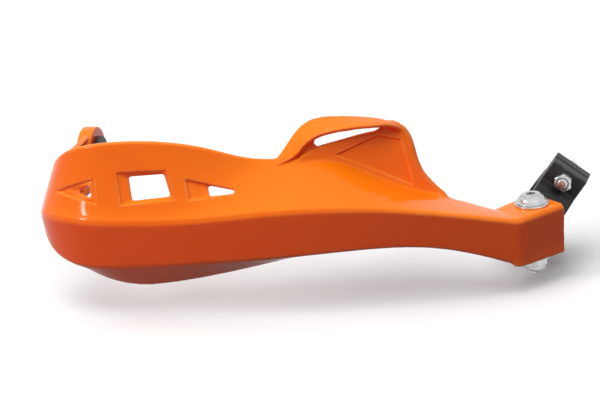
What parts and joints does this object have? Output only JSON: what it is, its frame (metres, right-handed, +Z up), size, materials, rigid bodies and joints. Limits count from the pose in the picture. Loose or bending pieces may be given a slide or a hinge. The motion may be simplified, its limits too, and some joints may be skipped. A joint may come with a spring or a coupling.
{
  "type": "motorcycle hand guard",
  "caption": "Wrap-around motorcycle hand guard: vented moulded shell with a winged upper shield, held by an expanding bar-end plug and a split clamp on the handlebar.",
  "frame": {"origin": "centre of the handlebar's outer end face, where the bar-end spacer seats", "axes": "+X inward along the grip, -Y to the front of the motorcycle, +Z up"},
  "size_m": [0.3258, 0.1284, 0.111],
  "materials": {
    "orange_plastic": "smooth moulded",
    "zinc_steel": "zinc plated",
    "black_aluminium": "black anodised, bead blasted",
    "bare_aluminium": "turned",
    "black_plastic": "moulded",
    "nylon": "moulded"
  },
  "bodies": {
    "root": {"guard_shell": "orange_plastic", "bar_end_spacer": "black_plastic", "expander_sleeve": "bare_aluminium", "expander_cone": "bare_aluminium", "bar_end_bolt": "zinc_steel", "steel_bushes": "zinc_steel", "bolt_washers": "zinc_steel", "pivot_sleeve": "zinc_steel", "pivot_bolt": "zinc_steel", "pivot_nut": "zinc_steel", "nut_insert": "nylon", "clamp_body": "black_aluminium", "clamp_cap": "black_aluminium", "reducer_front": "black_plastic", "reducer_rear": "black_plastic", "clamp_washers": "zinc_steel", "clamp_nuts": "zinc_steel", "clamp_screws": "zinc_steel"}
  },
  "joints": []
}
